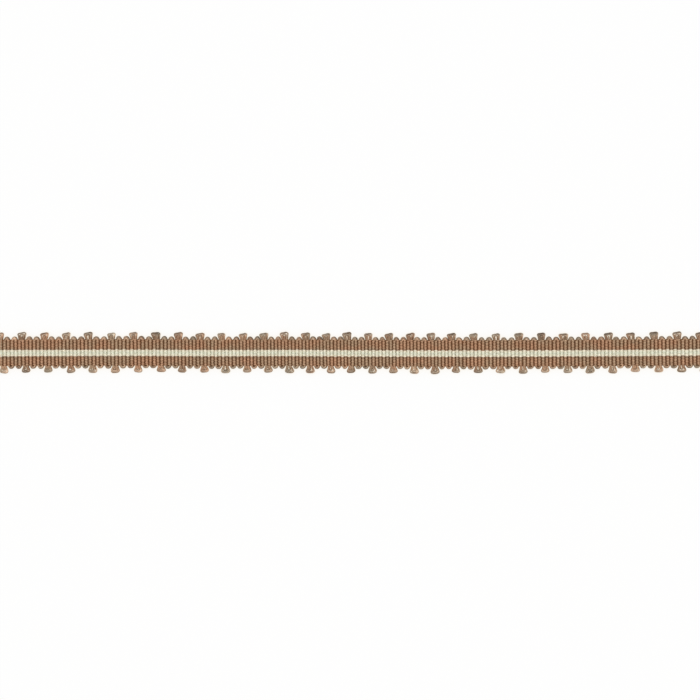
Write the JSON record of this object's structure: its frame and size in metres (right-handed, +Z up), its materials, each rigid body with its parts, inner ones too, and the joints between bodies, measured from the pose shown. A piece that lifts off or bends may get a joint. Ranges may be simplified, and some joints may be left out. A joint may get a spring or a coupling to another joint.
{
  "type": "picot braid trim",
  "caption": "Cut length of flat woven braid trim with raised cross ribs, a pale stripe along the middle, and plain loops and longer picots along both edges.",
  "frame": {"origin": "on the resting surface, under the middle of the braid's bounding box", "axes": "+X along the braid, +Y across it towards the edge with the flat-topped picots, +Z up from the resting surface"},
  "size_m": [0.224, 0.0126, 0.0014],
  "materials": {
    "brown_yarn": "spun brown yarn with a soft sheen",
    "cream_yarn": "spun cream yarn with a soft sheen"
  },
  "bodies": {
    "root": {"braid": "brown_yarn"}
  },
  "joints": []
}
